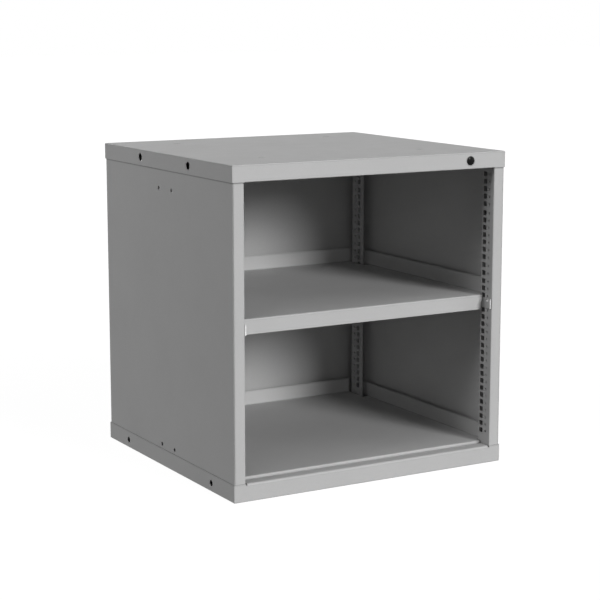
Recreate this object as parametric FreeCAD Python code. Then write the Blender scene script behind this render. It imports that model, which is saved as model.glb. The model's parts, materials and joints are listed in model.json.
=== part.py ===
"""Overhead storage cabinet: a welded sheet-steel carcass, open at the front, with two tray shelves.

Millimetres. The origin is the middle of the footprint on the floor, +Z up, and the open front faces -Y.
Depths are counted back from the front face, and turned into Y by the function behind().
"""
import FreeCAD
import Part
import math
import os

from FreeCAD import Vector

# Overall size
WIDTH = 762.0
DEPTH = 711.0
HEIGHT = 790.0

# Sheet and bends
SHEET = 1.5
WALL_SHEET = 1.2
POST_SHEET = 1.5
PAN_BEND = 0.5
LEDGE_BEND = 4.0
TRAY_BEND = 2.5
WALL_BEND = 1.5
POST_BEND = 1.0
HIDDEN_BEND = 0.0

# Cap, base and walls
CAP_SKIRT = 40.2
CAP_LIP = 14.0
BASE_SKIRT = 43.3
LEDGE_DEPTH = 36.0
LEDGE_LIP = 10.0
RELIEF_WIDTH = 3.8
RELIEF_HEIGHT = 4.0
WALL_FLANGE = 15.0
WALL_LAP = 8.0
INNER_CLEAR = 3.0
RAIL_INNER = 352.0

# Slotted posts: the opening between them, and where their faces start and end
OPENING = 700.0
POST_FRONT = SHEET
POST_BACK = 50.0
POST_RETURN = 16.0
POST_LEG = 40.0
REAR_POST_MIRROR = 668.5
REAR_POST_FRONT = 608.0
REAR_POST_FOOT = 16.0
SLOT_DEPTHS = (30.5, 44.5)
SLOT_HEIGHT = 12.3
PIN_HOLE_DEPTH = 19.0
PIN_HOLE_D = 6.0
PIN_HOLE_SIDES = 6
# The slots go up in runs: height of the first one, how many, and their pitch
SLOT_RUNS = ((77.1, 22, 18.34), (482.6, 3, 20.2), (541.8, 6, 18.5), (657.0, 5, 18.6))

# Tray shelves
SHELF_TOP = 426.8
BOTTOM_SHELF_TOP = 49.0
SHELF_FRONT = 38.0
SHELF_BACK = 677.0
SHELF_APRON = 37.0
SHELF_UPSTAND = 41.2
SHELF_GAP = 1.0
TRAY_WIDTH = 733.0
TRAY_FRONT = 52.0
TRAY_BACK = 601.0
TRAY_EAR_BACK = 650.0
APRON_NOTCH = 5.5
APRON_SHOULDER = 3.0
APRON_TAPER = 20.0

# Stiffener under each tray
STIFFENER_LENGTH = 520.0
STIFFENER_CROWN = 30.0
STIFFENER_DROP = 20.0
STIFFENER_FOOT = 14.0
STIFFENER_DEPTH = 357.0

# Bearers that hold the bottom tray up off the base
BEARER_OFFSET = 300.0
BEARER_WIDTH = 40.0
BEARER_FRONT = 60.0
BEARER_BACK = 655.0
BEARER_FOOT = 18.0

# Shelf clips, measured from the post's inner face and from the clip's supporting slot
CLIP_SHEET = 2.0
CLIP_SLOT = 18
CLIP_NEAR = 3.0
CLIP_FAR = 54.0
CLIP_BELOW = 12.0
CLIP_ABOVE = 13.0
CLIP_EDGE = 4.5
CLIP_SEAT = 16.0
CLIP_SEAT_NEAR = 42.0
HOOK_DEPTHS = (32.0, 41.0)
HOOK_TOP = 4.0
HOOK_BOTTOM = -4.0
HOOK_TAIL = 7.0
HOOK_REACH = 0.3
CLIP_TAB_RISE = 3.0
CLIP_TAB_BOTTOM = 2.0
CLIP_TAB_TOP = 10.0

# Holes
CAP_HOLE_D = 19.0
CAP_HOLE_DEPTHS = (225.5, 492.5)
CAP_HOLE_UP = 770.4
BASE_HOLE_D = 15.0
BASE_HOLE_DEPTHS = (118.5, 592.5)
BASE_HOLE_UP = 20.5
WALL_HOLE_D = 9.5
WALL_HOLE_SPREAD = 71.5
WALL_HOLE_UPS = (55.2, 702.8)
STACK_X = 225.0
STACK_DEPTHS = (145.0, 603.0)
STACK_PLACES = [(x, depth) for depth in STACK_DEPTHS for x in (-STACK_X, STACK_X)]
STACK_BOLT_HOLE_D = 9.0

# Threaded press nuts in the cap, six-sided so that they can't turn in their holes
NUT_HEAD_D = 17.0
NUT_HEAD = 0.6
NUT_BODY_D = 12.6
NUT_HOLE_D = 12.9
NUT_SIDES = 6
NUT_LENGTH = 16.0
NUT_BORE_D = 6.8

# Plug in the cap's lock hole
PLUG_X = 276.7
PLUG_UP = 770.4
PLUG_D = 22.0
PLUG_RISE = 3.5
PLUG_RIM = 0.8
PLUG_CROWN_D = 11.0
PLUG_HOLE_D = 19.2
PLUG_SHANK_D = 19.0
PLUG_SHANK = 7.0

# How far cutters reach past the sheet that they cut
PAST = 5.0

UP = Vector(0, 0, 1)


def behind(depth):
    """Y of a point this far back from the front face. The plug's nose counts in the footprint."""
    return depth - (DEPTH - PLUG_RISE) / 2


def face_of(corners, to_space):
    """Flat face round the corners (u, v, radius), each corner rounded to its radius."""
    points = [Vector(u, v, 0) for u, v, _ in corners]
    edges = []
    last_end = None
    first_start = None
    for index, corner in enumerate(points):
        radius = corners[index][2]
        ahead = (points[(index + 1) % len(points)] - corner).normalize()
        back = (points[index - 1] - corner).normalize()
        start = end = corner
        arc = None
        if radius > 0:
            half_turn = (math.pi - back.getAngle(ahead)) / 2
            tangent = radius * math.tan(half_turn)
            start = corner + back * tangent
            end = corner + ahead * tangent
            inward = (ahead + back).normalize()
            crown = corner + inward * (radius / math.cos(half_turn) - radius)
            arc = Part.Arc(to_space(start), to_space(crown), to_space(end)).toShape()
        if last_end is None:
            first_start = start
        else:
            edges.append(Part.LineSegment(to_space(last_end), to_space(start)).toShape())
        if arc:
            edges.append(arc)
        last_end = end
    edges.append(Part.LineSegment(to_space(last_end), to_space(first_start)).toShape())
    return Part.Face(Part.Wire(edges))


def folded(path, sheet, bend, to_space):
    """Cross-section of a folded sheet. The path runs along one face, and the sheet lies to its left.

    The bend is the inside radius of each fold, and 0 draws the folds square.
    """
    outside = bend + sheet if bend else 0
    points = [Vector(u, v, 0) for u, v in path]
    runs = [(b - a).normalize() for a, b in zip(points, points[1:])]
    lefts = [Vector(-run.y, run.x, 0) for run in runs]
    near = [(points[0].x, points[0].y, 0.0)]
    far = [points[0] + lefts[0] * sheet]
    far_radii = [0.0]
    for index in range(1, len(points) - 1):
        before, after = lefts[index - 1], lefts[index]
        turn = runs[index - 1].cross(runs[index]).z
        mitre = (before + after) * (sheet / (1 + before.dot(after)))
        near.append((points[index].x, points[index].y, outside if turn > 0 else bend))
        far.append(points[index] + mitre)
        far_radii.append(bend if turn > 0 else outside)
    near.append((points[-1].x, points[-1].y, 0.0))
    far.append(points[-1] + lefts[-1] * sheet)
    far_radii.append(0.0)
    back = [(p.x, p.y, radius) for p, radius in zip(far, far_radii)]
    return face_of(near + back[::-1], to_space)


def across(x):
    """Section plane that looks along X: u is depth, v is height."""
    return lambda p: Vector(x, behind(p.x), p.y)


def along(depth):
    """Section plane that looks along the depth: u is X, v is height."""
    return lambda p: Vector(p.x, behind(depth), p.y)


def level(z):
    """Section plane that looks down: u is X, v is depth."""
    return lambda p: Vector(p.x, behind(p.y), z)


def box(x0, x1, depth0, depth1, z0, z1):
    """Block between two X values, two depths and two heights."""
    return Part.makeBox(x1 - x0, depth1 - depth0, z1 - z0, Vector(x0, behind(depth0), z0))


def rod(diameter, x, depth, z, direction, length):
    """Cylinder of this length, centred on a point."""
    axis = Vector(direction)
    start = Vector(x, behind(depth), z) - axis * (length / 2)
    return Part.makeCylinder(diameter / 2, length, start, axis)


def prism(sides, diameter, x, depth, z, direction, length):
    """Bar with flat sides, of this diameter across its corners and this length, centred on a point."""
    turn = 2 * math.pi / sides
    half = length / 2
    ring = [Vector(math.cos(step * turn) * diameter / 2, math.sin(step * turn) * diameter / 2, -half)
            for step in range(sides + 1)]
    bar = Part.Face(Part.makePolygon(ring)).extrude(UP * length)
    bar.Placement = FreeCAD.Placement(Vector(x, behind(depth), z), FreeCAD.Rotation(UP, Vector(direction)))
    return bar


def turned(profile, x, depth, z, direction):
    """Solid of revolution: profile corners are (radius from the axis, height along it, rounding)."""
    face = face_of(profile, lambda p: Vector(p.x, 0, p.y))
    solid = face.revolve(Vector(0, 0, 0), UP, 360)
    solid.Placement = FreeCAD.Placement(Vector(x, behind(depth), z), FreeCAD.Rotation(UP, Vector(direction)))
    return solid


def mirrored(shape):
    """The same piece on the other side of the cabinet."""
    return shape.mirror(Vector(0, 0, 0), Vector(1, 0, 0))


def to_rear(shape):
    """The same piece turned front to back, so that a front post's slots land on a rear post's."""
    return shape.mirror(Vector(0, behind(REAR_POST_MIRROR / 2), 0), Vector(0, 1, 0))


def fused(first, *others):
    """One solid from pieces of the same sheet."""
    return first.fuse(list(others)).removeSplitter()


def pan(height):
    """Folded pan standing on the floor, open upwards: round bends along its floor, square welded corners."""

    def rounded_block(inset, radius, top):
        block = box(-WIDTH / 2 + inset, WIDTH / 2 - inset, inset, DEPTH - inset, inset, top)
        bends = [edge for edge in block.Edges if edge.BoundBox.ZMax < height / 2]
        return block.makeFillet(radius, bends)

    outside = rounded_block(0, PAN_BEND + SHEET, height)
    inside = rounded_block(SHEET, PAN_BEND, height + PAST)
    return outside.cut(inside)


def gang_holes(diameter, depths, up):
    """Cutters for the holes in the skirts on both sides of the cabinet."""
    return [rod(diameter, 0, depth, up, (1, 0, 0), WIDTH + 2 * PAST) for depth in depths]


def slot_heights():
    """Heights of all the slots in a post, lowest first."""
    return [first + step * pitch for first, count, pitch in SLOT_RUNS for step in range(count)]


def front_strip(path, bend, end_gap, shape):
    """Replace a pan's front wall, between the posts less a gap at each end, by a folded strip."""
    half = OPENING / 2 - end_gap
    heights = [height for _, height in path[:2]]
    gap = box(-half, half, -PAST, SHEET, min(heights), max(heights))
    strip = folded(path, SHEET, bend, across(-half)).extrude(Vector(2 * half, 0, 0))
    return fused(shape.cut(gap), strip)


def top_cap():
    shape = pan(CAP_SKIRT).mirror(Vector(0, 0, CAP_SKIRT / 2), UP)
    shape.translate(Vector(0, 0, HEIGHT - CAP_SKIRT))
    low = HEIGHT - CAP_SKIRT
    lip = [(0, low + CAP_LIP), (0, low), (CAP_LIP, low), (CAP_LIP, low + CAP_LIP / 2)]
    shape = front_strip(lip, PAN_BEND, SHELF_GAP, shape)
    holes = gang_holes(CAP_HOLE_D, CAP_HOLE_DEPTHS, CAP_HOLE_UP)
    holes.append(rod(PLUG_HOLE_D, PLUG_X, 0, PLUG_UP, (0, 1, 0), 2 * PAST))
    holes += [prism(NUT_SIDES, NUT_HOLE_D, x, depth, HEIGHT, UP, 2 * PAST) for x, depth in STACK_PLACES]
    return shape.cut(holes)


def base_pan():
    shape = pan(BASE_SKIRT)
    lip = BASE_SKIRT - LEDGE_LIP
    ledge = [(LEDGE_DEPTH, lip), (LEDGE_DEPTH, BASE_SKIRT), (0, BASE_SKIRT), (0, lip)]
    shape = front_strip(ledge, LEDGE_BEND, RELIEF_WIDTH, shape)
    holes = gang_holes(BASE_HOLE_D, BASE_HOLE_DEPTHS, BASE_HOLE_UP)
    holes += [rod(STACK_BOLT_HOLE_D, x, depth, 0, UP, 2 * PAST) for x, depth in STACK_PLACES]
    end = OPENING / 2
    relief = box(-end, RELIEF_WIDTH - end, -PAST, SHEET, BASE_SKIRT - RELIEF_HEIGHT, BASE_SKIRT + PAST)
    return shape.cut(holes + [relief, mirrored(relief)])


def wall_span():
    """Lowest and highest points of the walls, which lap the insides of the two skirts."""
    return BASE_SKIRT - WALL_LAP, HEIGHT - CAP_SKIRT + WALL_LAP


def plain_side_panel():
    """Left side wall before its holes, with a flange turned in behind the back panel.

    Between the posts its top is folded in and up against the cap, which closes a rail behind the cap's holes.
    """
    outer = -WIDTH / 2 + SHEET
    rear = DEPTH - SHEET
    plan = [(outer, INNER_CLEAR), (outer, rear), (outer + WALL_FLANGE, rear)]
    low, high = wall_span()
    section = folded(plan[::-1], WALL_SHEET, WALL_BEND, level(low))
    wall = section.extrude(UP * (high - low))
    web = -RAIL_INNER - WALL_SHEET
    rail_path = [(web, HEIGHT - SHEET), (web, high), (outer, high), (outer, high - WALL_LAP)]
    rail_front = POST_BACK + SHELF_GAP
    rail = folded(rail_path, WALL_SHEET, HIDDEN_BEND, along(rail_front))
    rail = rail.extrude(Vector(0, REAR_POST_FRONT - SHELF_GAP - rail_front, 0))
    return fused(wall, rail)


def left_wall_holes():
    """Cutters for the small holes, in pairs high and low in the middle of the left wall."""
    outer = -WIDTH / 2 + SHEET
    places = [((DEPTH + side * WALL_HOLE_SPREAD) / 2, up) for up in WALL_HOLE_UPS for side in (-1, 1)]
    return [rod(WALL_HOLE_D, outer, depth, up, (1, 0, 0), 2 * PAST) for depth, up in places]


def back_panel():
    half = WIDTH / 2 - SHEET - WALL_SHEET - WALL_BEND
    rear = DEPTH - SHEET - WALL_SHEET
    return box(-half, half, rear - WALL_SHEET, rear, *wall_span())


def slotted_post(plan, slot_depths):
    """Post of this plan, with a column of slots between these two depths."""
    section = folded(plan, POST_SHEET, POST_BEND, level(INNER_CLEAR))
    shape = section.extrude(UP * (HEIGHT - 2 * INNER_CLEAR))
    inner = -OPENING / 2
    slots = [box(inner - PAST, inner + PAST, *slot_depths, up - SLOT_HEIGHT / 2, up + SLOT_HEIGHT / 2)
             for up in slot_heights()]
    return shape.cut(slots)


def front_left_upright():
    wall = -WIDTH / 2 + SHEET + WALL_SHEET
    inner = -OPENING / 2
    plan = [(wall, POST_LEG), (wall, POST_FRONT), (inner, POST_FRONT), (inner, POST_BACK),
            (inner - POST_RETURN, POST_BACK)]
    pin_holes = [prism(PIN_HOLE_SIDES, PIN_HOLE_D, inner, PIN_HOLE_DEPTH, up, (1, 0, 0), 2 * PAST)
                 for up in slot_heights()]
    return slotted_post(plan, SLOT_DEPTHS).cut(pin_holes)


def rear_left_upright():
    wall = -WIDTH / 2 + SHEET + WALL_SHEET
    inner = -OPENING / 2
    rear = REAR_POST_MIRROR - POST_FRONT
    plan = [(inner, REAR_POST_FRONT), (inner, rear), (wall + POST_SHEET, rear),
            (wall + POST_SHEET, rear + REAR_POST_FOOT)]
    return slotted_post(plan, [REAR_POST_MIRROR - depth for depth in SLOT_DEPTHS[::-1]])


def tray(top):
    """Shelf folded from one sheet: a front apron with tapered ends, and upstands at the back and sides.

    The side upstands run on past the notched rear corners, as ears behind the rear posts' faces.
    """
    under = top - SHEET
    half = OPENING / 2 - SHELF_GAP
    side = TRAY_WIDTH / 2
    rim = under + SHELF_UPSTAND
    foot = top - SHELF_APRON
    middle_path = [(SHELF_BACK, rim), (SHELF_BACK, under), (SHELF_FRONT + SHEET, under),
                   (SHELF_FRONT + SHEET, foot)]
    middle = folded(middle_path[::-1], SHEET, TRAY_BEND, across(-half)).extrude(Vector(2 * half, 0, 0))
    wide_path = [(-side, rim), (-side, under), (side, under), (side, rim)]
    wide = folded(wide_path, SHEET, TRAY_BEND, along(TRAY_FRONT))
    wide = wide.extrude(Vector(0, TRAY_BACK - TRAY_FRONT, 0))
    ear = box(-side, SHEET - side, TRAY_BACK, TRAY_EAR_BACK, top + TRAY_BEND, rim)
    shoulder = top - APRON_SHOULDER
    waist = half - APRON_NOTCH
    notch = [(half, shoulder, 0), (half + PAST, shoulder, 0), (half + PAST, foot - PAST, 0),
             (waist, foot - PAST, 0), (waist, top - APRON_TAPER, 0)]
    cutter = face_of(notch, along(SHELF_FRONT - PAST)).extrude(Vector(0, 2 * PAST, 0))
    return fused(middle, wide, ear, mirrored(ear)).cut([cutter, mirrored(cutter)])


def stiffener(top):
    """Hat channel welded across the underside of a tray."""
    under = top - SHEET
    crown = STIFFENER_CROWN / 2
    foot = crown + STIFFENER_FOOT
    low = under - STIFFENER_DROP
    path = [(-foot, under), (-crown, under), (-crown, low), (crown, low), (crown, under), (foot, under)]
    placed = [(STIFFENER_DEPTH + u, v) for u, v in path[::-1]]
    section = folded(placed, WALL_SHEET, HIDDEN_BEND, across(-STIFFENER_LENGTH / 2))
    return section.extrude(Vector(STIFFENER_LENGTH, 0, 0))


def left_bearer():
    """Hat channel on the base's floor, with the bottom tray resting on its crown."""
    crown = BEARER_WIDTH / 2
    foot = crown + BEARER_FOOT
    high = BOTTOM_SHELF_TOP - 2 * SHEET
    path = [(-foot, SHEET), (-crown, SHEET), (-crown, high), (crown, high), (crown, SHEET), (foot, SHEET)]
    placed = [(u - BEARER_OFFSET, v) for u, v in path]
    section = folded(placed, SHEET, HIDDEN_BEND, along(BEARER_FRONT))
    return section.extrude(Vector(0, BEARER_BACK - BEARER_FRONT, 0))


def front_left_clip():
    """Bracket hooked through a slot: a plate on the post's inner face, a lanced tab and a seat for a tray."""
    face = -OPENING / 2
    slot_up = slot_heights()[CLIP_SLOT]
    seat_up = SHELF_TOP - SHEET
    low = slot_up - CLIP_BELOW
    high = slot_up + CLIP_ABOVE
    outer = face + CLIP_SHEET
    edge_plan = [(face, CLIP_FAR), (face, CLIP_NEAR), (face + CLIP_EDGE, CLIP_NEAR)]
    plate = folded(edge_plan, CLIP_SHEET, POST_BEND, level(low)).extrude(UP * (high - low))
    seat_path = [(face, low), (face, seat_up), (face + CLIP_SEAT, seat_up)]
    seat = folded(seat_path[::-1], CLIP_SHEET, HIDDEN_BEND, along(CLIP_SEAT_NEAR))
    seat = seat.extrude(Vector(0, CLIP_FAR - CLIP_SEAT_NEAR, 0))
    behind_wall = face - POST_SHEET - HOOK_REACH
    tongue = box(behind_wall - CLIP_SHEET, outer, *HOOK_DEPTHS, slot_up + HOOK_BOTTOM, slot_up + HOOK_TOP)
    tail = box(behind_wall - CLIP_SHEET, behind_wall, *HOOK_DEPTHS,
               slot_up + HOOK_BOTTOM - HOOK_TAIL, slot_up + HOOK_TOP)
    tab = box(face, outer + CLIP_TAB_RISE, PIN_HOLE_DEPTH - CLIP_SHEET / 2, PIN_HOLE_DEPTH + CLIP_SHEET / 2,
              slot_up + CLIP_TAB_BOTTOM, slot_up + CLIP_TAB_TOP)
    return fused(plate, seat, tongue, tail, tab)


def lock_hole_plug():
    """Plug with a low coned head that sits on the skirt, and a shank through it."""
    head = PLUG_D / 2
    shank = PLUG_SHANK_D / 2
    crown = PLUG_CROWN_D / 2
    profile = [(0, PLUG_RISE, 0), (crown, PLUG_RISE, 0), (head, PLUG_RIM, 0), (head, 0, 0), (shank, 0, 0),
               (shank, -PLUG_SHANK, 0), (0, -PLUG_SHANK, 0)]
    return turned(profile, PLUG_X, 0, PLUG_UP, (0, -1, 0))


def stacking_nuts():
    """Four threaded press nuts set in the cap, their thin six-sided heads on its top face."""
    nuts = []
    for x, depth in STACK_PLACES:
        head = prism(NUT_SIDES, NUT_HEAD_D, x, depth, HEIGHT + NUT_HEAD / 2, UP, NUT_HEAD)
        body = prism(NUT_SIDES, NUT_BODY_D, x, depth, HEIGHT - NUT_LENGTH / 2, UP, NUT_LENGTH)
        bore = rod(NUT_BORE_D, x, depth, HEIGHT, UP, 2 * NUT_LENGTH + 2 * PAST)
        nuts.append(fused(head, body).cut(bore))
    return Part.makeCompound(nuts)


def build():
    """Every piece of the cabinet, by name."""
    left_panel = plain_side_panel()
    bearer = left_bearer()
    pieces = {
        "top_cap": top_cap(),
        "base_pan": base_pan(),
        "back_panel": back_panel(),
        "left_side_panel": left_panel.cut(left_wall_holes()),
        "right_side_panel": mirrored(left_panel),
        "left_bearer": bearer,
        "right_bearer": mirrored(bearer),
        "adjustable_shelf": tray(SHELF_TOP),
        "adjustable_shelf_stiffener": stiffener(SHELF_TOP),
        "bottom_shelf": tray(BOTTOM_SHELF_TOP),
        "bottom_shelf_stiffener": stiffener(BOTTOM_SHELF_TOP),
        "lock_hole_plug": lock_hole_plug(),
        "stacking_nuts": stacking_nuts(),
    }
    front_clip = front_left_clip()
    corner_pieces = {
        ("front", "upright"): front_left_upright(),
        ("rear", "upright"): rear_left_upright(),
        ("front", "clip"): front_clip,
        ("rear", "clip"): to_rear(front_clip),
    }
    for (end, name), shape in corner_pieces.items():
        pieces[end + "_left_" + name] = shape
        pieces[end + "_right_" + name] = mirrored(shape)
    return pieces


os.makedirs("parts", exist_ok=True)
for name, shape in build().items():
    shape.exportStep(os.path.join("parts", name + ".step"))
    size = shape.BoundBox
    print(name, shape.isValid(), len(shape.Solids), round(shape.Volume),
          "x", round(size.XMin, 1), round(size.XMax, 1), "y", round(size.YMin, 1), round(size.YMax, 1),
          "z", round(size.ZMin, 1), round(size.ZMax, 1))
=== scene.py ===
"""Looks of the overhead storage cabinet: grey powder coat, zinc-plated clips and a black plug.

It stands in a white studio. Metres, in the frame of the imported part: +Z up, and the open front
faces -Y.
"""

import bmesh
import bpy
import json
import math

from mathutils import Matrix, Vector


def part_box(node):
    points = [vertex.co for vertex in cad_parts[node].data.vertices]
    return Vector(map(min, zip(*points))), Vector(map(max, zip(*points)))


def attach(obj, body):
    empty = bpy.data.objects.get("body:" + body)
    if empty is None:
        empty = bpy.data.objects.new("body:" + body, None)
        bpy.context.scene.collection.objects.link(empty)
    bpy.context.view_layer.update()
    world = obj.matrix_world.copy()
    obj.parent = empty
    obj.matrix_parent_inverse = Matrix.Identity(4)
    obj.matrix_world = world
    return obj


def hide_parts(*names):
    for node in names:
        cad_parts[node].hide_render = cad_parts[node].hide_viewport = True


# Camera of the photograph
CAMERA_PLACE = (-2.1662, -3.75025, 1.1558)
CAMERA_TILT = math.radians(80.0413)
CAMERA_TURN = math.radians(-30.009)
CAMERA_LENS = 102.376

# Studio light: broad soft lamps far off round the object, and a dim even sky. Bearings are in
# degrees from the front, to the right, and a lamp's level is how bright it makes a white surface
# that faces it.
LAMPS = (
    # name, bearing, elevation, width in degrees, level
    ("main_lamp", 14.7, 17.7, 18.5, 0.81),
    ("left_fill", -83.0, 27.0, 14.0, 0.182),
    ("high_fill", -55.0, 52.0, 30.0, 0.105),
    ("front_fill", -20.0, 14.0, 30.0, 0.03),
    ("top_lamp", 0.0, 85.0, 30.0, 0.025),
    ("right_fill", 60.0, 8.0, 20.0, 0.175),
    ("rear_fill", 180.0, 4.0, 20.0, 0.3),
)
LAMP_DISTANCE = 10.0
SKY_LIGHT = 0.1
WHITE = (1.0, 1.0, 1.0, 1.0)

# Floor: it glows white for the camera, less near the object so that the shadow there shows
FLOOR_SIZE = 60.0
FLOOR_HEIGHT = -0.0005
FLOOR_BOUNCE = 0.12
GLOW_NEAR = 0.952
GLOW_FAR = 1.0
GLOW_START = 1.0
GLOW_END = 4.0

# Noise: the range that most of it lies in, and its detail where nothing else is said
NOISE_LOW = 0.3
NOISE_HIGH = 0.7
NOISE_DETAIL = 2.0

# Powder coat: a grey that drifts slowly and is finely speckled, both as shares of it, patchy
# roughness and orange peel
COAT_GREY = 0.47
DRIFT = (0.985, 1.015)
DRIFT_SIZE = 0.16
SPECKLE = (0.97, 1.03)
SPECKLE_SIZE = 0.0012
COAT_ROUGHNESS = 0.34
PATCH_ROUGHNESS = 0.04
PATCH_SIZE = 0.05
COAT_SHINE = 0.2
PEEL_SIZE = 0.0022
PEEL_DETAIL = 1.0
PEEL_STRENGTH = 0.12
PEEL_DEPTH = 0.0002

# Painted shade: the coat's colour is darkened in tight joints, and most of all under overhangs,
# where shade falls. A few rays feel for them, and for the edges
NEARBY_SAMPLES = 8
SHADE_REACH = 0.004
SHADE_RISE = 0.7
SHADE_POWER = 1.4

# The coat's edges look slightly rounded, and are rubbed in patches, where their colour is also
# lightened as a painted highlight. The rub marks start and are full where the cosine of the turn
# from the flat surface to the rounded one has these values
EDGE_REACH = 0.0012
EDGE_START = 0.99
EDGE_FULL = 0.8
RUB_SIZE = 0.03
RUB_DETAIL = 4.0
# The edges' lighter tone is partly rub wear and partly a painted highlight
RUB_AND_HIGHLIGHT_TONE = 0.06
RUB_POLISH = 0.1

# Dust on the coat, which starts and is full where a face looks up by these shares
DUST_START = 0.6
DUST_FULL = 0.95
DUST_ROUGHNESS = 0.26

# Zinc plate and black plastic: both have uneven tone and roughness, and a fine grain
GRAIN_DEPTH = 0.0001
ZINC_TONE = (0.45, 0.53)
ZINC_TONE_SIZE = 0.006
ZINC_ROUGHNESS = (0.38, 0.5)
ZINC_ROUGHNESS_SIZE = 0.002
ZINC_GRAIN_SIZE = 0.0008
ZINC_GRAIN_DETAIL = 3.0
ZINC_GRAIN_STRENGTH = 0.1
PLASTIC_TONE = (0.004, 0.007)
PLASTIC_TONE_SIZE = 0.004
PLASTIC_ROUGHNESS = (0.2, 0.26)
PLASTIC_ROUGHNESS_SIZE = 0.001
PLASTIC_SHINE = 0.08
PLASTIC_GRAIN_SIZE = 0.0006
PLASTIC_GRAIN_STRENGTH = 0.08

# Fineness of turned forms and of folds, and how far a cutting form reaches past what it cuts
TURN_STEPS = 48
BEND_STEPS = 6
CUT_REACH = 0.004
SHARP_ANGLE = math.radians(30)
X_AXIS, Y_AXIS, Z_AXIS = range(3)

# Domed plug, with a hollow shank whose bead snaps behind the skirt's sheet
PLUG_DOME_STEPS = 10
PLUG_RIM = 0.0008
PLUG_CHAMFER = 0.0003
PLUG_SHANK_RADIUS = 0.0095
PLUG_BEAD = 0.0006
PLUG_BEAD_DEPTHS = (0.0018, 0.0026, 0.0034, 0.0045)
PLUG_BORE_RADIUS = 0.008
PLUG_FACE = 0.001

# Slotted uprights: the plan of their folds and their slots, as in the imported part, and round pin
# holes beside the slots
POST_SHEET = 0.0015
POST_BEND = 0.001
POST_LEG = 0.0385
POST_RETURN = 0.016
POST_FOOT = 0.016
SLOT_NEAR = 0.029
SLOT_FAR = 0.043
SLOT_HEIGHT = 0.0123
SLOT_CORNER = 0.0018
SLOT_CORNER_STEPS = 5
PIN_HOLE_IN = 0.0175
PIN_HOLE_RADIUS = 0.003
PIN_HOLE_STEPS = 24
# The slots go up in runs: height of the first one's middle, how many, and their pitch
SLOT_RUNS = (
    (0.0771, 22, 0.01834),
    (0.4826, 3, 0.0202),
    (0.5418, 6, 0.0185),
    (0.657, 5, 0.0186),
)

# Shelf clips, measured from the plate's near edge and lower end, and from the slot that holds them
CLIP_SHEET = 0.002
CLIP_BEND = 0.0008
CLIP_BELOW = 0.012
CLIP_HEIGHT = 0.025
CLIP_LIP = 0.0045
SEAT_IN = 0.039
HOOK_NEAR = 0.029
HOOK_FAR = 0.038
HOOK_RISE = 0.002
HOOK_TAIL = 0.011
HOOK_BEND = 0.0003
STUD_IN = 0.016
STUD_UP = 0.006
STUD_RADIUS = 0.0034
STUD_RISE = 0.003
STUD_STEPS = 8

# Press nuts in the top: a thin round flange, a countersunk bore and a six-sided body
NUT_FLANGE_RADIUS = 0.0085
NUT_CHAMFER = 0.0003
NUT_BODY_RADIUS = 0.0063
NUT_SIDES = 6
NUT_BORE_RADIUS = 0.0034
NUT_SINK = 0.0018

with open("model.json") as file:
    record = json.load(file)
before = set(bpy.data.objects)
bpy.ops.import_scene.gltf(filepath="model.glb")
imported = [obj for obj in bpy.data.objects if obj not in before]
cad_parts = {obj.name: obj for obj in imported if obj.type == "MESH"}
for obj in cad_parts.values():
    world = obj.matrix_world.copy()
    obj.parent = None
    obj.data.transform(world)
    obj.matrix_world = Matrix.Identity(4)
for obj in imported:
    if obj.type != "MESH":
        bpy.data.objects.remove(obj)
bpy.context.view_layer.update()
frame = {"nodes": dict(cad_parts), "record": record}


def fill(tree, made, inputs):
    """Set a node's inputs, each one to a value or to the output of another node."""
    for name, value in inputs.items():
        if isinstance(value, bpy.types.NodeSocket):
            tree.links.new(value, made.inputs[name])
        else:
            made.inputs[name].default_value = value


def node(tree, kind, inputs=None, **settings):
    """New node with these settings and inputs."""
    made = tree.nodes.new(kind)
    for name, value in settings.items():
        setattr(made, name, value)
    fill(tree, made, inputs or {})
    return made


def new_material(name):
    """New material with its node tree and its shader."""
    material = bpy.data.materials.new(name)
    material.use_nodes = True
    tree = material.node_tree
    return material, tree, tree.nodes["Principled BSDF"]


def own_place(tree):
    """Where a point is in its object's own frame."""
    return node(tree, "ShaderNodeTexCoord").outputs["Object"]


def facing(tree):
    """Which way the surface faces."""
    return node(tree, "ShaderNodeNewGeometry").outputs["Normal"]


def math_node(tree, operation, first, second):
    """One sum on two values."""
    made = node(tree, "ShaderNodeMath", {0: first, 1: second}, operation=operation)
    return made.outputs["Value"]


def mapped(tree, value, start, end, low=0.0, high=1.0):
    """Value that goes from low to high as another one goes from start to end."""
    ends = {"Value": value, "From Min": start, "From Max": end, "To Min": low, "To Max": high}
    return node(tree, "ShaderNodeMapRange", ends).outputs["Result"]


def noise(tree, place, size, detail=NOISE_DETAIL):
    """Noise whose grains are about this many metres across."""
    inputs = {"Vector": place, "Scale": 1 / size, "Detail": detail}
    return node(tree, "ShaderNodeTexNoise", inputs).outputs["Fac"]


def uneven(tree, place, size, span, detail=NOISE_DETAIL):
    """Noise of this size, stretched so that its usual range fills the span."""
    return mapped(tree, noise(tree, place, size, detail), NOISE_LOW, NOISE_HIGH, *span)


def bumped(tree, height, strength, depth, base=None):
    """Which way the surface faces with this bump on it, or on the base that is given."""
    inputs = {"Height": height, "Strength": strength, "Distance": depth}
    if base is not None:
        inputs["Normal"] = base
    return node(tree, "ShaderNodeBump", inputs).outputs["Normal"]


def painted_shade(tree):
    """Painted shade: 1 in the open and less in tight joints, most of all under an overhang, where
    shade falls.
    """
    rise = (0, 0, SHADE_RISE)
    lifted = node(tree, "ShaderNodeVectorMath", {0: facing(tree), 1: rise}, operation="ADD")
    towards = node(tree, "ShaderNodeVectorMath", {0: lifted.outputs[0]}, operation="NORMALIZE")
    inputs = {"Distance": SHADE_REACH, "Normal": towards.outputs[0]}
    open_sky = node(tree, "ShaderNodeAmbientOcclusion", inputs, samples=NEARBY_SAMPLES)
    return math_node(tree, "POWER", open_sky.outputs["AO"], SHADE_POWER)


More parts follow.
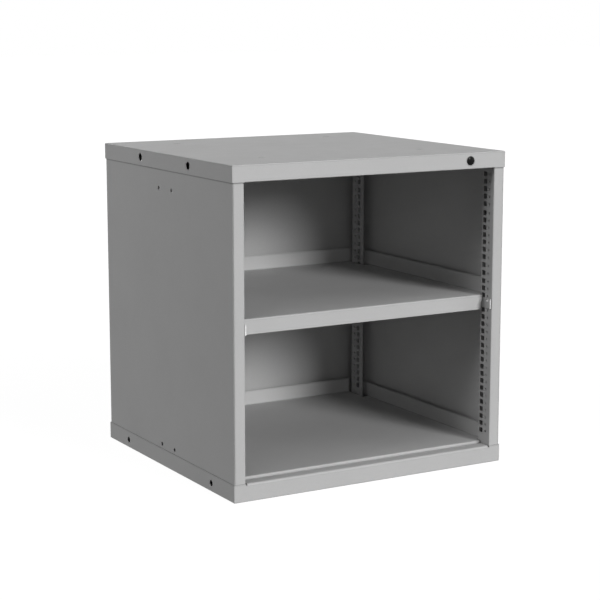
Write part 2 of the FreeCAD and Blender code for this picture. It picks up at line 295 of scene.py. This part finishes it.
def eased_edges(tree):
    """Which way the surface faces, with its edges slightly rounded."""
    made = node(tree, "ShaderNodeBevel", {"Radius": EDGE_REACH}, samples=NEARBY_SAMPLES)
    return made.outputs["Normal"]


def worn_and_highlit_edge(tree, place, eased):
    """1 along rubbed edges, broken up into patches, and 0 elsewhere: it marks rub wear and a
    painted highlight.
    """
    match = node(tree, "ShaderNodeVectorMath", {0: facing(tree), 1: eased}, operation="DOT_PRODUCT")
    edge = mapped(tree, match.outputs["Value"], EDGE_START, EDGE_FULL)
    rub = uneven(tree, place, RUB_SIZE, (0.0, 1.0), RUB_DETAIL)
    return math_node(tree, "MULTIPLY", edge, rub)


def dust(tree):
    """1 on faces that look up, where dust settles, and 0 on upright ones."""
    upward = node(tree, "ShaderNodeSeparateXYZ", {"Vector": facing(tree)}).outputs["Z"]
    return mapped(tree, upward, DUST_START, DUST_FULL)


def powder_coat():
    """Grey coat with speckle, orange peel, painted shade in joints and under overhangs, rubbed
    edges lightened partly as a painted highlight, and dust on level faces.
    """
    material, tree, shader = new_material("grey_powder_coat")
    place = own_place(tree)
    drift = uneven(tree, place, DRIFT_SIZE, DRIFT)
    speckle = uneven(tree, place, SPECKLE_SIZE, SPECKLE)
    tone = math_node(tree, "MULTIPLY", drift, speckle)
    # Painted shade: the grey is darkened in tight joints and under overhangs
    tone = math_node(tree, "MULTIPLY", tone, painted_shade(tree))
    grey = math_node(tree, "MULTIPLY", tone, COAT_GREY)
    eased = eased_edges(tree)
    wear_and_highlight = worn_and_highlit_edge(tree, place, eased)
    # Lighter grey along edges: rub wear and a painted highlight
    grey = math_node(tree, "ADD", grey, math_node(tree, "MULTIPLY", wear_and_highlight, RUB_AND_HIGHLIGHT_TONE))
    span = (COAT_ROUGHNESS - PATCH_ROUGHNESS, COAT_ROUGHNESS + PATCH_ROUGHNESS)
    patches = uneven(tree, place, PATCH_SIZE, span)
    polish = math_node(tree, "MULTIPLY", wear_and_highlight, RUB_POLISH)
    rubbed = math_node(tree, "SUBTRACT", patches, polish)
    dulling = math_node(tree, "MULTIPLY", dust(tree), DUST_ROUGHNESS)
    peel = noise(tree, place, PEEL_SIZE, PEEL_DETAIL)
    fill(tree, shader, {
        "Base Color": grey,
        "Roughness": math_node(tree, "ADD", rubbed, dulling),
        "Specular IOR Level": COAT_SHINE,
        "Normal": bumped(tree, peel, PEEL_STRENGTH, PEEL_DEPTH, eased),
    })
    return material


def zinc_plate():
    """Dull bright metal with a fine grain."""
    material, tree, shader = new_material("zinc_plated_steel")
    place = own_place(tree)
    grain = noise(tree, place, ZINC_GRAIN_SIZE, ZINC_GRAIN_DETAIL)
    fill(tree, shader, {
        "Base Color": uneven(tree, place, ZINC_TONE_SIZE, ZINC_TONE),
        "Metallic": 1.0,
        "Roughness": uneven(tree, place, ZINC_ROUGHNESS_SIZE, ZINC_ROUGHNESS),
        "Normal": bumped(tree, grain, ZINC_GRAIN_STRENGTH, GRAIN_DEPTH),
    })
    return material


def black_plastic():
    """Smooth black plastic with a faint moulded grain."""
    material, tree, shader = new_material("black_plastic")
    place = own_place(tree)
    grain = noise(tree, place, PLASTIC_GRAIN_SIZE)
    fill(tree, shader, {
        "Base Color": uneven(tree, place, PLASTIC_TONE_SIZE, PLASTIC_TONE),
        "Roughness": uneven(tree, place, PLASTIC_ROUGHNESS_SIZE, PLASTIC_ROUGHNESS),
        "Specular IOR Level": PLASTIC_SHINE,
        "Normal": bumped(tree, grain, PLASTIC_GRAIN_STRENGTH, GRAIN_DEPTH),
    })
    return material


def circle(radius, steps, middle=(0.0, 0.0)):
    """Points evenly spaced round a circle."""
    turns = [step / steps * 2 * math.pi for step in range(steps)]
    x, y = middle
    return [(x + radius * math.cos(turn), y + radius * math.sin(turn)) for turn in turns]


def dome(radius, rim, top, steps):
    """Profile of a dome, from just beside its pole down to its rim."""
    arcs = [step / steps * math.pi / 2 for step in range(1, steps + 1)]
    return [(radius * math.sin(arc), rim + (top - rim) * math.cos(arc)) for arc in arcs]


def rounded(corners, radii, steps):
    """Outline through the corners, each one rounded to its radius."""
    points = []
    for index, radius in enumerate(radii):
        corner = Vector(corners[index])
        if radius == 0:
            points.append(corner)
            continue
        back = (Vector(corners[index - 1]) - corner).normalized()
        ahead = (Vector(corners[(index + 1) % len(corners)]) - corner).normalized()
        half_turn = (math.pi - back.angle(ahead)) / 2
        inward = (ahead + back).normalized()
        side = (ahead - back).normalized()
        hub = corner + inward * radius / math.cos(half_turn)
        for step in range(steps + 1):
            turn = half_turn * (2 * step / steps - 1)
            points.append(hub + (side * math.sin(turn) - inward * math.cos(turn)) * radius)
    return points


def sheet_outline(path, sheet, bend):
    """Section of a folded sheet to the left of the path, with this inside radius at its folds."""
    points = [Vector(point) for point in path]
    runs = [(after - before).normalized() for before, after in zip(points, points[1:])]
    lefts = [Vector((-run.y, run.x)) for run in runs]
    outside = bend + sheet
    near, far = [(points[0], 0)], [(points[0] + lefts[0] * sheet, 0)]
    for index in range(1, len(points) - 1):
        before, after = lefts[index - 1], lefts[index]
        turns_left = runs[index - 1].x * runs[index].y - runs[index - 1].y * runs[index].x > 0
        mitre = (before + after) * (sheet / (1 + before.dot(after)))
        near.append((points[index], outside if turns_left else bend))
        far.append((points[index] + mitre, bend if turns_left else outside))
    near.append((points[-1], 0))
    far.append((points[-1] + lefts[-1] * sheet, 0))
    loop = near + far[::-1]
    return rounded([point for point, _ in loop], [radius for _, radius in loop], BEND_STEPS)


def finished(name, build):
    """Mesh of what was built, with its faces turned outwards."""
    bmesh.ops.recalc_face_normals(build, faces=build.faces)
    mesh = bpy.data.meshes.new(name)
    build.to_mesh(mesh)
    build.free()
    return mesh


def extruded(build, outline, axis, start, end):
    """Add a prism: the outline's two numbers are the other two axes, in order."""
    def corner(point, along):
        place = list(point)
        place.insert(axis, along)
        return build.verts.new(place)

    near = [corner(point, start) for point in outline]
    far = [corner(point, end) for point in outline]
    build.faces.new(near)
    build.faces.new(far)
    for index in range(len(outline)):
        build.faces.new((near[index - 1], near[index], far[index], far[index - 1]))


def prism(outline, axis, start, end):
    """Mesh of one prism."""
    build = bmesh.new()
    extruded(build, outline, axis, start, end)
    return finished("prism", build)


def standing(right, over, up):
    """Place of a point on a form that is turned about the Z axis."""
    return right, over, up


def turned(profile, top, place=standing):
    """Closed form turned from a profile of (radius, height), with its first pole at the top."""
    build = bmesh.new()
    rings = []
    for out, up in profile:
        spots = [place(right, over, up) for right, over in circle(out, TURN_STEPS)]
        rings.append([build.verts.new(spot) for spot in spots])
    for ring, below in zip(rings, rings[1:]):
        for step in range(TURN_STEPS):
            build.faces.new((ring[step - 1], ring[step], below[step], below[step - 1]))
    bottom = profile[-1][1]
    for ring, up in ((rings[0], top), (rings[-1], bottom)):
        pole = build.verts.new(place(0.0, 0.0, up))
        for step in range(TURN_STEPS):
            build.faces.new((pole, ring[step - 1], ring[step]))
    return finished("turned", build)


def mirrored(mesh, axis, total=0.0):
    """Copy turned over along an axis: each place there and its new one add up to the total."""
    other = mesh.copy()
    scale = [1, 1, 1, 1]
    shift = [0, 0, 0]
    scale[axis] = -1
    shift[axis] = total
    other.transform(Matrix.Translation(shift) @ Matrix.Diagonal(scale))
    other.flip_normals()
    return other


def add_object(name, data):
    """New object in the scene."""
    made = bpy.data.objects.new(name, data)
    bpy.context.scene.collection.objects.link(made)
    return made


def combined(first, second, operation):
    """Mesh of the first form with the second one joined on or cut out."""
    blank = add_object("blank", first)
    tool = add_object("tool", second)
    cut = blank.modifiers.new("cut", "BOOLEAN")
    cut.operation = operation
    cut.solver = "EXACT"
    cut.object = tool
    bpy.context.view_layer.update()
    result = blank.evaluated_get(bpy.context.evaluated_depsgraph_get())
    mesh = bpy.data.meshes.new_from_object(result)
    for piece in (blank, tool):
        spent = piece.data
        bpy.data.objects.remove(piece)
        bpy.data.meshes.remove(spent)
    return mesh


def show(name, mesh, material, stands_for):
    """New piece of the carcass that stands for a packed one."""
    mesh.materials.append(material)
    mesh.shade_smooth()
    mesh.set_sharp_from_angle(angle=SHARP_ANGLE)
    piece = add_object(name, mesh)
    flat = piece.modifiers.new("flat_faces", "WEIGHTED_NORMAL")
    flat.keep_sharp = True
    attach(piece, "carcass")
    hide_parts(stands_for)


def show_both(name, left, material, stands_for):
    """A left piece and its mirror image on the right. Both names have a gap for the side."""
    for side, mesh in (("left", left), ("right", mirrored(left, X_AXIS))):
        show(name % side, mesh, material, stands_for % side)


def make_plug(material):
    """Domed plug in the lock hole, with its beaded shank behind the skirt."""
    low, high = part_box("lock_hole_plug")
    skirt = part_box("top_cap")[0].y
    middle = (low + high) / 2
    radius = (high.x - low.x) / 2
    rise = skirt - low.y
    depth = high.y - skirt
    bulges = (0.0, PLUG_BEAD, PLUG_BEAD, 0.0)
    profile = dome(radius, PLUG_RIM, rise, PLUG_DOME_STEPS)
    profile += [(radius, PLUG_CHAMFER), (radius - PLUG_CHAMFER, 0.0), (PLUG_SHANK_RADIUS, 0.0)]
    profile += [(PLUG_SHANK_RADIUS + bulge, -down) for bulge, down in zip(bulges, PLUG_BEAD_DEPTHS)]
    profile += [
        (PLUG_SHANK_RADIUS - PLUG_BEAD, -depth),
        (PLUG_BORE_RADIUS, -depth),
        (PLUG_BORE_RADIUS, -PLUG_FACE),
    ]

    def forward(right, over, up):
        """Place of a point on a form that is turned about the hole's axis."""
        return middle.x + right, skirt - up, middle.z + over

    show("domed_plug", turned(profile, rise, forward), material, "lock_hole_plug")


def post_cutters(inner, near, far, pin):
    """Slots between two Y values, and round pin holes beside them, up the post's inner face."""
    build = bmesh.new()
    span = (inner - CUT_REACH, inner + CUT_REACH)
    for first, count, pitch in SLOT_RUNS:
        for step in range(count):
            up = first + step * pitch
            low, high = up - SLOT_HEIGHT / 2, up + SLOT_HEIGHT / 2
            corners = [(near, low), (far, low), (far, high), (near, high)]
            slot = rounded(corners, [SLOT_CORNER] * len(corners), SLOT_CORNER_STEPS)
            extruded(build, slot, X_AXIS, *span)
            extruded(build, circle(PIN_HOLE_RADIUS, PIN_HOLE_STEPS, (pin, up)), X_AXIS, *span)
    return finished("cutters", build)


def make_uprights(material):
    """Slotted posts: the front ones frame the opening, and the rear ones stand off the walls."""
    for end in ("front", "rear"):
        low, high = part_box(end + "_left_upright")
        wall, inner = low.x, high.x
        if end == "front":
            plan = [(wall, low.y + POST_LEG), (wall, low.y), (inner, low.y), (inner, high.y),
                    (inner - POST_RETURN, high.y)]
            near, far, pin = low.y + SLOT_NEAR, low.y + SLOT_FAR, low.y + PIN_HOLE_IN
        else:
            back = high.y - POST_FOOT
            foot = wall + POST_SHEET
            plan = [(inner, low.y), (inner, back), (foot, back), (foot, high.y)]
            near, far, pin = back - SLOT_FAR, back - SLOT_NEAR, back - PIN_HOLE_IN
        blank = prism(sheet_outline(plan, POST_SHEET, POST_BEND), Z_AXIS, low.z, high.z)
        post = combined(blank, post_cutters(inner, near, far, pin), "DIFFERENCE")
        show_both(end + "_%s_post", post, material, end + "_%s_upright")


def make_brackets(material):
    """Shelf clips: a lipped plate, a hook in a slot, a seat under the tray and a domed stud."""
    low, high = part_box("front_left_clip")
    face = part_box("front_left_upright")[1].x
    slot = low.z + CLIP_BELOW
    hook_top = slot + HOOK_RISE
    lip_path = [(face, high.y), (face, low.y), (face + CLIP_LIP, low.y)]
    seat_path = [(high.x, high.z), (face, high.z), (face, low.z)]
    hook_path = [(face + CLIP_SHEET / 2, hook_top), (low.x, hook_top), (low.x, slot - HOOK_TAIL)]
    plate = sheet_outline(lip_path, CLIP_SHEET, CLIP_BEND)
    seat = sheet_outline(seat_path, CLIP_SHEET, CLIP_BEND)
    hook = sheet_outline(hook_path, CLIP_SHEET, HOOK_BEND)
    stud = dome(STUD_RADIUS, 0.0, STUD_RISE, STUD_STEPS) + [(STUD_RADIUS, -CLIP_SHEET / 2)]

    def sideways(right, over, up):
        """Place of a point on a form that is turned about an axis out of the plate."""
        return face + CLIP_SHEET + up, low.y + STUD_IN + right, slot + STUD_UP + over

    clip = prism(plate, Z_AXIS, low.z, low.z + CLIP_HEIGHT)
    fittings = (
        prism(seat, Y_AXIS, low.y + SEAT_IN, high.y),
        prism(hook, Y_AXIS, low.y + HOOK_NEAR, low.y + HOOK_FAR),
        turned(stud, STUD_RISE, sideways),
    )
    for fitting in fittings:
        clip = combined(clip, fitting, "UNION")
    rear_clip = mirrored(clip, Y_AXIS, low.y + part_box("rear_left_clip")[1].y)
    for end, left in (("front", clip), ("rear", rear_clip)):
        show_both(end + "_%s_bracket", left, material, end + "_%s_clip")


def press_nut(rise, length):
    """One nut that stands this far above the top and reaches this far below it."""
    body = prism(circle(NUT_BODY_RADIUS, NUT_SIDES), Z_AXIS, -length, rise / 2)
    flange = [
        (NUT_FLANGE_RADIUS - NUT_CHAMFER, rise),
        (NUT_FLANGE_RADIUS, rise - NUT_CHAMFER),
        (NUT_FLANGE_RADIUS, 0.0),
    ]
    above, below = rise + CUT_REACH, -length - CUT_REACH
    bore = [
        (NUT_BORE_RADIUS + NUT_SINK + CUT_REACH, above),
        (NUT_BORE_RADIUS, rise - NUT_SINK),
        (NUT_BORE_RADIUS, below),
    ]
    solid = combined(body, turned(flange, rise), "UNION")
    return combined(solid, turned(bore, above), "DIFFERENCE")


def make_nuts(material):
    """The four press nuts in the top, as one piece."""
    low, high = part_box("stacking_nuts")
    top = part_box("top_cap")[1].z
    nut = press_nut(high.z - top, top - low.z)
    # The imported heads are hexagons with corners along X, so they reach less far along Y
    reach = high.x - NUT_FLANGE_RADIUS
    inset = NUT_FLANGE_RADIUS * math.sin(math.pi / 3)
    build = bmesh.new()
    for x in (-reach, reach):
        for y in (low.y + inset, high.y - inset):
            placed = nut.copy()
            placed.transform(Matrix.Translation((x, y, top)))
            build.from_mesh(placed)
            bpy.data.meshes.remove(placed)
    bpy.data.meshes.remove(nut)
    show("press_nuts", finished("nuts", build), material, "stacking_nuts")


def seen_directly(tree):
    """1 for rays that show the background itself, and 0 for rays that carry its light."""
    path = node(tree, "ShaderNodeLightPath").outputs
    shown = math_node(tree, "ADD", path["Is Camera Ray"], path["Is Glossy Ray"])
    return math_node(tree, "ADD", shown, path["Is Transmission Ray"])


def make_world():
    """White background that lights the object only dimly."""
    world = bpy.data.worlds.new("studio")
    world.use_nodes = True
    tree = world.node_tree
    tree.nodes.clear()
    sky = node(tree, "ShaderNodeBackground", {"Color": WHITE, "Strength": SKY_LIGHT})
    white = node(tree, "ShaderNodeBackground", {"Color": WHITE, "Strength": 1.0})
    inputs = {"Fac": seen_directly(tree), 1: sky.outputs[0], 2: white.outputs[0]}
    mix = node(tree, "ShaderNodeMixShader", inputs)
    node(tree, "ShaderNodeOutputWorld", {"Surface": mix.outputs[0]})
    bpy.context.scene.world = world


def floor_material():
    """Matt floor that takes the shadow, under a white glow that carries no light."""
    material = bpy.data.materials.new("pale_floor")
    material.use_nodes = True
    tree = material.node_tree
    tree.nodes.clear()
    bounce = (FLOOR_BOUNCE, FLOOR_BOUNCE, FLOOR_BOUNCE, 1)
    matt = node(tree, "ShaderNodeBsdfDiffuse", {"Color": bounce})
    away = node(tree, "ShaderNodeVectorMath", {0: own_place(tree)}, operation="LENGTH")
    level = mapped(tree, away.outputs["Value"], GLOW_START, GLOW_END, GLOW_NEAR, GLOW_FAR)
    glow = math_node(tree, "MULTIPLY", seen_directly(tree), level)
    white = node(tree, "ShaderNodeEmission", {"Color": WHITE, "Strength": glow})
    both = node(tree, "ShaderNodeAddShader", {0: matt.outputs[0], 1: white.outputs[0]})
    node(tree, "ShaderNodeOutputMaterial", {"Surface": both.outputs[0]})
    return material


def make_floor():
    """Wide level floor, just under the object."""
    mesh = bpy.data.meshes.new("floor")
    half = FLOOR_SIZE / 2
    corners = [(-half, -half), (half, -half), (half, half), (-half, half)]
    mesh.from_pydata([(x, y, FLOOR_HEIGHT) for x, y in corners], [], [(0, 1, 2, 3)])
    mesh.materials.append(floor_material())
    floor = add_object("floor", mesh)


def make_lamp(name, bearing, elevation, width, level):
    """Broad lamp far off in one direction."""
    lamp = bpy.data.lights.new(name, "SUN")
    lamp.angle = math.radians(width)
    lamp.energy = math.pi * level
    turn = math.radians(bearing)
    rise = math.radians(elevation)
    ground = math.cos(rise)
    towards = Vector((math.sin(turn) * ground, -math.cos(turn) * ground, math.sin(rise)))
    holder = add_object(name, lamp)
    holder.location = towards * LAMP_DISTANCE
    holder.rotation_euler = towards.to_track_quat("Z", "Y").to_euler()


def make_camera():
    """Camera at the photograph's viewing angle."""
    camera = bpy.data.cameras.new("photo_camera")
    camera.lens = CAMERA_LENS
    holder = add_object("photo_camera", camera)
    holder.location = CAMERA_PLACE
    holder.rotation_euler = (CAMERA_TILT, 0, CAMERA_TURN)
    bpy.context.scene.camera = holder


def paint_nodes():
    """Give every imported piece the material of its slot."""
    materials = {
        "grey_powder_coat": powder_coat(),
        "zinc_plated_steel": zinc_plate(),
        "black_plastic": black_plastic(),
    }
    for subpart in frame["record"]["subparts"]:
        mesh = frame["nodes"][subpart["node"]].data
        mesh.materials.clear()
        mesh.materials.append(materials[subpart["material_slot"]])
    return materials


bpy.context.scene.view_settings.view_transform = "Standard"
paints = paint_nodes()
make_plug(paints["black_plastic"])
make_uprights(paints["grey_powder_coat"])
make_brackets(paints["zinc_plated_steel"])
make_nuts(paints["grey_powder_coat"])
make_world()
make_floor()
for lamp_facts in LAMPS:
    make_lamp(*lamp_facts)
make_camera()
